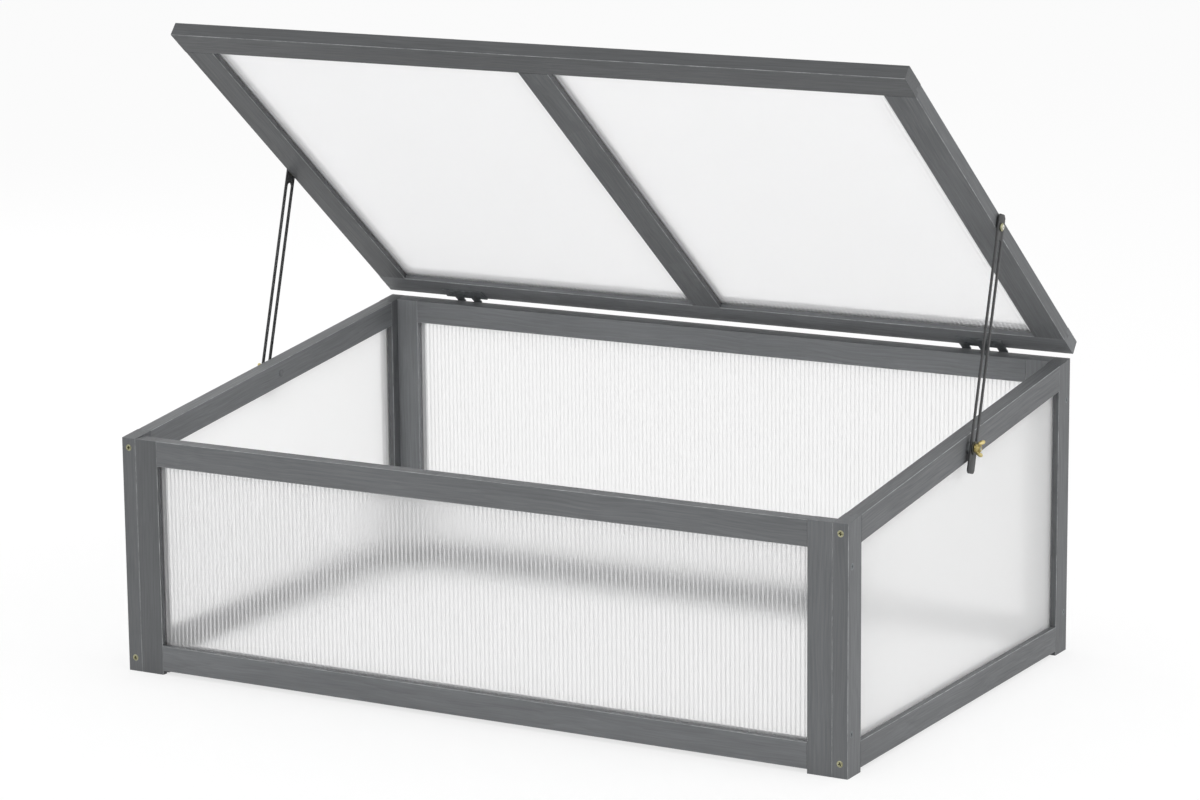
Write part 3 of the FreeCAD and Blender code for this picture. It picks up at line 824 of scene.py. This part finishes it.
@dataclass
class CrossHeadScrew:
    """Wood screw with a cross recess, drawn along Z with its head's rim at zero."""

    head_r: float
    shank_r: float
    length: float
    rim_r: float = 0.0
    under_head: float = 0.0
    recess: float = 4.0
    slit: float = 0.9
    depth: float = 1.3
    floor_share: float = 0.62
    thread_pitch: float = 1.8
    thread_root: float = 0.78
    bare_neck: float = 2.0
    tip_r: float = 0.2

    def shell(self) -> bmesh.types.BMesh:
        """Shapes the screw from its head's top down to its point.

        Returns:
            The closed shell in metres.
        """
        mesh = bmesh.new()
        # The head's top is a grid of five cells a side, whose middle ones make the cross
        bmesh.ops.create_grid(mesh, x_segments=5, y_segments=5, size=1.0)
        lines = (-self.head_r, -self.recess / 2, -self.slit / 2, self.slit / 2, self.recess / 2, self.head_r)
        for vert in mesh.verts:
            for axis in (0, 1):
                vert.co[axis] = lines[round((vert.co[axis] + 1) * 2.5)] * MM
        for vert in mesh.verts:
            if vert.is_boundary:
                vert.co.xy = vert.co.xy.normalized() * self.head_r * MM
        arms = []
        for face in mesh.faces:
            near, far = sorted(abs(value) for value in face.calc_center_median().xy)
            if far < self.recess / 2 * MM and near < self.slit / 2 * MM:
                arms.append(face)
        sunk = bmesh.ops.extrude_face_region(mesh, geom=arms)
        floor = [item for item in sunk["geom"] if isinstance(item, bmesh.types.BMVert)]
        bmesh.ops.delete(mesh, geom=arms, context="FACES")
        bmesh.ops.scale(mesh, vec=(self.floor_share, self.floor_share, 1.0), verts=floor)
        bmesh.ops.translate(mesh, vec=(0, 0, -self.depth * MM), verts=floor)

        loop = [edge for edge in mesh.edges if edge.is_boundary]
        for radius, height in self.profile():
            grown = bmesh.ops.extrude_edge_only(mesh, edges=loop)["geom"]
            loop = [item for item in grown if isinstance(item, bmesh.types.BMEdge)]
            for vert in {vert for edge in loop for vert in edge.verts}:
                vert.co.xy = vert.co.xy.normalized() * radius * MM
                vert.co.z = height * MM
        bmesh.ops.contextual_create(mesh, geom=loop)
        bmesh.ops.recalc_face_normals(mesh, faces=mesh.faces)
        return mesh

    def profile(self) -> list[tuple[float, float]]:
        """Lists the rings below the head's rim, with ridges in place of a thread.

        Returns:
            Radius and height of each ring, the last one at the point.
        """
        rings = [(self.shank_r, self.shank_r - self.head_r)]
        if self.rim_r:
            rings = [
                (self.rim_r, -0.5 * self.under_head),
                (self.rim_r, -self.under_head),
                (self.shank_r, -self.under_head),
            ]
        height = rings[-1][1] - self.bare_neck
        while height > -self.length + 3 * self.shank_r:
            rings.append((self.shank_r * self.thread_root, height))
            rings.append((self.shank_r, height - self.thread_pitch / 2))
            height -= self.thread_pitch
        rings.append((self.tip_r, -self.length))
        return rings


@dataclass
class FrameScrews:
    """Screws that show on the box and in the hinges, in groups of one CAD node each."""

    first_turn: float = 0.4
    turn_step: float = 1.1

    def build(self) -> None:
        """Builds every group of screws."""
        yellow = YELLOW_ZINC.made()
        grey = GREY_PHOSPHATE.made()
        rail = CrossHeadScrew(head_r=4.0, shank_r=2.0, length=60.0, recess=4.8, slit=1.5, depth=2.2)
        corner = CrossHeadScrew(head_r=4.0, shank_r=2.0, length=40.0)
        small = CrossHeadScrew(head_r=3.0, shank_r=1.6, length=14.0, recess=3.6, slit=0.8)
        under = Vector((0, -math.sin(LID_OPEN), -math.cos(LID_OPEN)))
        for side, out in (("left", Vector((-1, 0, 0))), ("right", Vector((1, 0, 0)))):
            self.group(f"{side}_frame_screws", "frame", rail, None, yellow)
            self.group(f"{side}_corner_screws", "frame", corner, out, grey)
            self.group(f"{side}_hinge_frame_screws", "frame", small, Vector((0, 1, 0)), grey)
            self.group(f"{side}_hinge_lid_screws", "lid", small, under, grey)
        for side in ("front", "rear"):
            dress(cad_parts[f"{side}_frame_screws"], yellow)

    def group(
        self,
        node: str,
        body: str,
        screw: CrossHeadScrew,
        outward: Vector | None,
        material: bpy.types.Material,
    ) -> None:
        """Builds one group where the CAD's screws stand.

        Args:
            node: The CAD node that the group replaces.
            body: The body that carries it.
            screw: The kind of screw.
            outward: Where the heads face, or None for heads that face the nearer of front and back.
            material: The screws' finish.
        """
        shells = []
        for index, (low, high) in enumerate(islands(node)):
            head = (low + high) / 2
            facing = outward or Vector((0, math.copysign(1.0, head.y), 0))
            for axis in range(3):
                # The box's face on the head's side touches the head's rim, which is square to the screw
                spread = screw.head_r * MM * math.sqrt(1 - facing[axis] ** 2)
                if facing[axis] > 0:
                    head[axis] = high[axis] - spread
                elif facing[axis] < 0:
                    head[axis] = low[axis] + spread
            shell = screw.shell()
            turn = Matrix.Rotation(self.first_turn + self.turn_step * index, 3, "Z")
            bmesh.ops.rotate(shell, cent=(0, 0, 0), matrix=turn, verts=shell.verts)
            shells.append(pointed(shell, head, facing))
        piece = finished(f"{node}_turned", joined(shells))
        dress(piece, material)
        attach(piece, body)
        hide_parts(node)
        log.info("%s: %d screws", node, len(shells))


@dataclass
class StaySet:
    """One lid stay with its pivot screw, bolt, washers and wing nut."""

    side: str
    width: float = 19.0
    thickness: float = 2.0
    above_pivot: float = 15.5
    foot: float = 31.0
    corner_cut: float = 4.0
    foot_r: float = 5.0
    slot_w: float = 10.0
    slot_start: float = 15.3
    past_bolt: float = 2.8
    pivot_bore_r: float = 2.55
    broken_edge: float = 0.25
    ring_bore_r: float = 2.6
    ring_cut: float = 0.2
    bolt_head: Points = (
        (0, 0), (2.2, 0.1), (3.9, 0.75), (4.8, 1.7), (5.0, 2.2), (5.0, 2.5), (2.5, 2.5), (2.5, 20.0)
    )
    head_height: float = 2.4
    thread_start: float = 20.5
    thread_end: float = 1.5
    thread_root_r: float = 2.1
    thread_r: float = 2.5
    thread_pitch: float = 0.8
    hub: Points = (
        (2.6, 0.5), (3.0, 0), (5.2, 0), (5.5, 0.3), (5.5, 2.2), (5.1, 3.2),
        (4.6, 5.6), (4.3, 6.6), (3.8, 7.0), (3.0, 7.0), (2.6, 6.6),
    )
    wing: Points = (
        (2.9, 0.9), (5.3, 1.0), (7.6, 2.6), (9.5, 5.2), (10.5, 8.0), (10.2, 10.0),
        (8.6, 11.0), (6.6, 10.5), (5.3, 8.6), (4.6, 6.6), (3.8, 6.0), (2.9, 5.8),
    )
    wing_thickness: float = 2.2
    wing_edge: float = 0.8
    wing_tilt: float = math.radians(25.0)
    square_on: float = 0.98

    def __post_init__(self) -> None:
        """Finds the pivot and the bolt from the CAD's washers."""
        self.out = Vector((1 if self.side == "right" else -1, 0, 0))
        self.pivot = self.centre("stay_pivot_washer")
        self.bolt = self.centre("stay_washer")

    def box(self, part: str) -> tuple[Vector, Vector]:
        """Lowest and highest corner of the CAD node of a part on this side."""
        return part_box(f"{self.side}_{part}")

    def centre(self, part: str) -> Vector:
        """Middle of a part's box."""
        low, high = self.box(part)
        return (low + high) / 2

    def seat(self, part: str, outer: bool) -> Vector:
        """Point where a part's inner or outer face meets its own axis.

        Args:
            part: A part that is round about an axis along X.
            outer: True for the face away from the greenhouse.

        Returns:
            The point on the axis.
        """
        low, high = self.box(part)
        point = self.centre(part)
        point.x = max(abs(low.x), abs(high.x)) if outer else min(abs(low.x), abs(high.x))
        point.x *= self.out.x
        return point

    def build(self) -> None:
        """Builds the bar and everything that holds it."""
        bar = finished(f"{self.side}_stay_bar", self.bar())
        self.keep(bar, f"{self.side}_stay", "stay", BLACK_COAT)
        nut = finished(f"{self.side}_wing_nut_cast", self.wing_nut(), 40.0)
        self.keep(nut, f"{self.side}_wing_nut", "wing_nut", CAST_BRASS)
        head = CrossHeadScrew(
            head_r=3.0, shank_r=2.5, length=29.0, rim_r=5.0, under_head=2.4, recess=2.6, slit=0.6, depth=0.8
        )
        pivot = pointed(head.shell(), self.seat("stay_pivot_screw", True), self.out)
        screw = finished(f"{self.side}_pivot_screw_turned", pivot)
        self.keep(screw, "lid", "stay_pivot_screw", YELLOW_ZINC)
        # The head's flat face is drawn nearly white, a painted highlight
        screw.data.materials.append(PAINTED_HIGHLIGHT_ZINC.made())
        for face in screw.data.polygons:
            face.material_index = int(face.normal.dot(self.out) > self.square_on)
        for part, body, finish in (
            # Both washers are drawn dark as painted shade
            ("stay_washer", "frame", WASHER_SHADE_STEEL),
            ("stay_spacer", "frame", ZINC_PLATE),
            ("stay_pivot_washer", "lid", WASHER_SHADE_STEEL),
        ):
            ring = finished(f"{self.side}_{part}_ring", self.ring(part))
            self.keep(ring, body, part, finish)
        bolt = finished(f"{self.side}_bolt_threaded", self.round_head_bolt())
        self.keep(bolt, "frame", "stay_bolt", ZINC_PLATE)
        # Its head inside the box doesn't stand out from the rail
        bolt.data.materials.append(STAINED_STEEL.made())
        head_end = abs(self.seat("stay_bolt", False).x) + self.head_height * MM
        for face in bolt.data.polygons:
            face.material_index = int(abs(face.center.x) < head_end)

    def keep(self, piece: bpy.types.Object, body: str, part: str, finish: Metal) -> None:
        """Dresses a piece and lets it stand for its CAD node.

        Args:
            piece: The new piece.
            body: The body that carries it.
            part: The part whose CAD node it replaces.
            finish: Its metal.
        """
        dress(piece, finish.made())
        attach(piece, body)
        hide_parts(f"{self.side}_{part}")
        log.info("%s: %s", piece.name, finish.name)

    def bar(self) -> bmesh.types.BMesh:
        """Cuts the slotted flat bar and breaks its edges.

        Returns:
            The bar where it stands at rest.
        """
        reach = (self.bolt - self.pivot).yz.length / MM
        mesh = bmesh.new()
        end = reach + self.foot
        # A circle of four sides, a quarter turned, is a square with sides of 1
        outline = bmesh.ops.create_circle(mesh, segments=4, radius=math.sqrt(0.5))["verts"]
        bmesh.ops.rotate(mesh, cent=(0, 0, 0), matrix=Matrix.Rotation(math.pi / 4, 3, "Z"), verts=outline)
        bmesh.ops.scale(mesh, vec=((end + self.above_pivot) * MM, self.width * MM, 1), verts=outline)
        bmesh.ops.translate(mesh, vec=((end - self.above_pivot) / 2 * MM, 0, 0), verts=outline)
        top = [vert for vert in outline if vert.co.x < 0]
        foot = [vert for vert in outline if vert.co.x > 0]
        bevel(mesh, top, self.corner_cut, 1, "VERTICES")
        bevel(mesh, foot, self.foot_r, 6, "VERTICES")
        slot_r = self.slot_w / 2
        slot_end = reach + self.past_bolt - slot_r
        slot = bmesh.ops.create_circle(mesh, segments=24, radius=slot_r * MM)["verts"]
        bmesh.ops.rotate(mesh, cent=(0, 0, 0), matrix=Matrix.Rotation(math.pi / 24, 3, "Z"), verts=slot)
        low_end = [vert for vert in slot if vert.co.x > 0]
        high_end = [vert for vert in slot if vert.co.x < 0]
        bmesh.ops.translate(mesh, vec=(slot_end * MM, 0, 0), verts=low_end)
        bmesh.ops.translate(mesh, vec=((self.slot_start + slot_r) * MM, 0, 0), verts=high_end)
        bmesh.ops.create_circle(mesh, segments=24, radius=self.pivot_bore_r * MM)
        filled = bmesh.ops.triangle_fill(mesh, use_beauty=True, use_dissolve=False, edges=mesh.edges)
        faces = [item for item in filled["geom"] if isinstance(item, bmesh.types.BMFace)]
        bmesh.ops.dissolve_limit(mesh, angle_limit=0.01, verts=[], edges=[])
        raised = bmesh.ops.extrude_face_region(mesh, geom=faces)["geom"]
        lifted = [item for item in raised if isinstance(item, bmesh.types.BMVert)]
        bmesh.ops.translate(mesh, vec=(0, 0, self.thickness * MM), verts=lifted)
        bmesh.ops.recalc_face_normals(mesh, faces=mesh.faces)
        rims = [edge for edge in mesh.edges if edge.calc_face_angle(0) > math.radians(80)]
        rims = [edge for edge in rims if abs(edge.verts[0].co.z - edge.verts[1].co.z) < 0.1 * MM]
        bevel(mesh, rims, self.broken_edge, 2, "EDGES")
        down = (self.bolt - self.pivot) * Vector((0, 1, 1))
        down.normalize()
        inner = self.seat("stay", False).x
        across = self.out.cross(down)
        turn = Matrix((down, across, self.out)).transposed().to_4x4()
        at = Vector((inner, self.pivot.y, self.pivot.z))
        bmesh.ops.transform(mesh, matrix=Matrix.Translation(at) @ turn, verts=mesh.verts)
        return mesh

    def ring(self, part: str) -> bmesh.types.BMesh:
        """Turns a washer or a spacer with broken edges.

        Args:
            part: The part, whose box gives its size.

        Returns:
            The ring in its place.
        """
        low, high = self.box(part)
        outer = (high.y - low.y) / 2 / MM
        height = (high.x - low.x) / MM
        inner, cut = self.ring_bore_r, self.ring_cut
        profile = (
            (inner, cut),
            (inner + cut, 0),
            (outer - cut, 0),
            (outer, cut),
            (outer, height - cut),
            (outer - cut, height),
            (inner + cut, height),
            (inner, height - cut),
        )
        return pointed(turned(profile, closed=True), self.seat(part, False), self.out)

    def round_head_bolt(self) -> bmesh.types.BMesh:
        """Turns the bolt, with its round head inside the box and its thread outside.

        Returns:
            The bolt in its place.
        """
        low, high = self.box("stay_bolt")
        length = (high.x - low.x) / MM
        profile = self.bolt_head
        height = self.thread_start
        while height < length - self.thread_end:
            profile += ((self.thread_root_r, height), (self.thread_r, height + self.thread_pitch / 2))
            height += self.thread_pitch
        profile += ((self.thread_root_r, length), (0, length))
        return pointed(turned(profile, steps=24), self.seat("stay_bolt", False), self.out)

    def wing_nut(self) -> bmesh.types.BMesh:
        """Shapes the hub and two raised wings of the nut.

        Returns:
            The nut in its place.
        """
        shells = [turned(self.hub, closed=True)]
        for way in (-1, 1):
            wing = bmesh.new()
            near = -self.wing_thickness / 2 * MM
            corners = [wing.verts.new((way * x * MM, near, z * MM)) for x, z in self.wing]
            side = wing.faces.new(corners)
            grown = bmesh.ops.extrude_face_region(wing, geom=[side])["geom"]
            far = [item for item in grown if isinstance(item, bmesh.types.BMVert)]
            bmesh.ops.translate(wing, vec=(0, self.wing_thickness * MM, 0), verts=far)
            bmesh.ops.recalc_face_normals(wing, faces=wing.faces)
            rims = [edge for edge in wing.edges if edge.calc_face_angle(0) > math.radians(70)]
            bevel(wing, rims, self.wing_edge, 3, "EDGES")
            shells.append(wing)
        nut = joined(shells)
        wings = Vector((0, math.sin(self.wing_tilt), math.cos(self.wing_tilt)))
        turn = Matrix((wings, self.out.cross(wings), self.out)).transposed().to_4x4()
        at = self.seat("wing_nut", False)
        at.y, at.z = self.bolt.y, self.bolt.z
        bmesh.ops.transform(nut, matrix=Matrix.Translation(at) @ turn, verts=nut.verts)
        return nut


@dataclass
class Hinges:
    """The two butt hinges, whose CAD leaves and pins are kept."""

    sides: tuple[str, ...] = ("left", "right")

    def build(self) -> None:
        """Plates the leaves and pins."""
        for side in self.sides:
            for part in ("hinge_frame_leaf", "hinge_lid_leaf", "hinge_pin"):
                dress(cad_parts[f"{side}_{part}"], DULL_ZINC.made())
                log.info("%s_%s: zinc plate", side, part)


@dataclass
class Studio:
    """Pale floor, soft lights and the camera at the photo's angle."""

    floor_size: float = 60.0
    floor_colour: str = "f7f7f7"
    white_share: float = 0.7
    horizon_level: float = 1.1
    zenith_level: float = 0.85
    eye: tuple[float, float, float] = (2.4312, -4.2923, 1.3648)
    azimuth: float = math.radians(29.532)
    elevation: float = math.radians(11.814)
    roll: float = math.radians(-0.527)
    focal_px: float = 4047.5
    image_px: float = 1200.0
    crossings: int = 64

    def build(self) -> None:
        """Sets up the world, floor, lamps and camera."""
        self.sky()
        self.floor()
        self.lamps()
        self.camera()
        bpy.context.scene.view_settings.view_transform = "Standard"
        # A ray can cross both walls and a rib of several sheets before it ends
        cycles = bpy.context.scene.cycles
        cycles.transparent_max_bounces = self.crossings
        cycles.transmission_bounces = self.crossings
        cycles.max_bounces = self.crossings

    def seen_directly(self, tree: bpy.types.NodeTree) -> bpy.types.NodeSocket:
        """Adds the test for rays that show a background.

        Args:
            tree: The node tree that takes it.

        Returns:
            A socket with 1 for camera, glossy and transmission rays.
        """
        path = add_node(tree, "LightPath")
        seen = path.outputs["Is Camera Ray"]
        for kind in ("Is Glossy Ray", "Is Transmission Ray"):
            either = add_node(tree, "Math", {0: seen, 1: path.outputs[kind]}, operation="MAXIMUM")
            seen = either.outputs[0]
        return seen

    def sky(self) -> None:
        """Lights softly all round, a little less from above, and shows white where it is seen."""
        world = bpy.data.worlds.new("soft_white_room")
        bpy.context.scene.world = world
        world.use_nodes = True
        tree = world.node_tree
        tree.nodes.clear()
        seen = self.seen_directly(tree)
        toward = add_node(tree, "TexCoord")
        apart = add_node(tree, "SeparateXYZ", {0: toward.outputs["Object"]})
        level = add_node(
            tree,
            "MapRange",
            {"Value": apart.outputs["Z"], "To Min": self.horizon_level, "To Max": self.zenith_level},
        )
        strength = add_node(tree, "MapRange", {"Value": seen, "To Min": level.outputs[0], "To Max": 1.0})
        light = add_node(tree, "Background", {"Color": (1, 1, 1, 1), "Strength": strength.outputs[0]})
        add_node(tree, "OutputWorld", {"Surface": light.outputs[0]})

    def floor(self) -> None:
        """Lays the pale floor, which keeps the object's shadow."""
        mesh = bmesh.new()
        bmesh.ops.create_grid(mesh, x_segments=8, y_segments=8, size=self.floor_size / 2)
        floor = finished("floor", mesh)
        made = new_material("white_paper_floor")
        tree = made.node_tree
        paper = add_node(tree, "BsdfDiffuse", {"Color": linear(self.floor_colour)})
        white = add_node(tree, "Emission", {"Color": (1, 1, 1, 1), "Strength": 1.0})
        share = add_node(
            tree, "Math", {0: self.seen_directly(tree), 1: self.white_share}, operation="MULTIPLY"
        )
        mixed = add_node(
            tree, "MixShader", {"Fac": share.outputs[0], 1: paper.outputs[0], 2: white.outputs[0]}
        )
        add_node(tree, "OutputMaterial", {"Surface": mixed.outputs[0]})
        dress(floor, made)

    def lamps(self) -> None:
        """Hangs a broad key light to the right and weaker ones to the left and over the front."""
        for name, at, size, watts in (
            ("key_softbox", Vector((3.4, 0.2, 2.6)), 2.6, 40.0),
            ("front_softbox", Vector((-0.6, -3.8, 2.2)), 2.4, 12.0),
            ("left_softbox", Vector((-3.2, 0.6, 1.6)), 2.4, 22.0),
        ):
            data = bpy.data.lights.new(name, "AREA")
            data.shape = "DISK"
            data.size = size
            data.energy = watts
            lamp = bpy.data.objects.new(name, data)
            lamp.location = at
            lamp.rotation_euler = (Vector((0, 0, 0.3)) - at).to_track_quat("-Z", "Y").to_euler()
            bpy.context.scene.collection.objects.link(lamp)

    def camera(self) -> None:
        """Places the camera as it stood for the photo."""
        level, drop = math.cos(self.elevation), math.sin(self.elevation)
        ahead = Vector((-math.sin(self.azimuth) * level, math.cos(self.azimuth) * level, -drop))
        right = ahead.cross(Vector((0, 0, 1))).normalized()
        up = right.cross(ahead)
        tilted_right = math.cos(self.roll) * right + math.sin(self.roll) * up
        tilted_up = math.cos(self.roll) * up - math.sin(self.roll) * right
        data = bpy.data.cameras.new("camera")
        data.sensor_width = 36.0
        data.lens = self.focal_px * data.sensor_width / self.image_px
        data.clip_end = 200.0
        camera = bpy.data.objects.new("camera", data)
        turn = Matrix((tilted_right, tilted_up, -ahead)).transposed().to_4x4()
        camera.matrix_world = Matrix.Translation(self.eye) @ turn
        bpy.context.scene.collection.objects.link(camera)
        bpy.context.scene.camera = camera


def main() -> None:
    """Dresses the greenhouse and sets up the studio."""
    logging.basicConfig(level=logging.INFO, format="%(name)s: %(message)s")
    Joinery().build()
    Glazing().build()
    Hinges().build()
    FrameScrews().build()
    for side in ("left", "right"):
        StaySet(side).build()
    Studio().build()


if __name__ == "__main__":
    main()
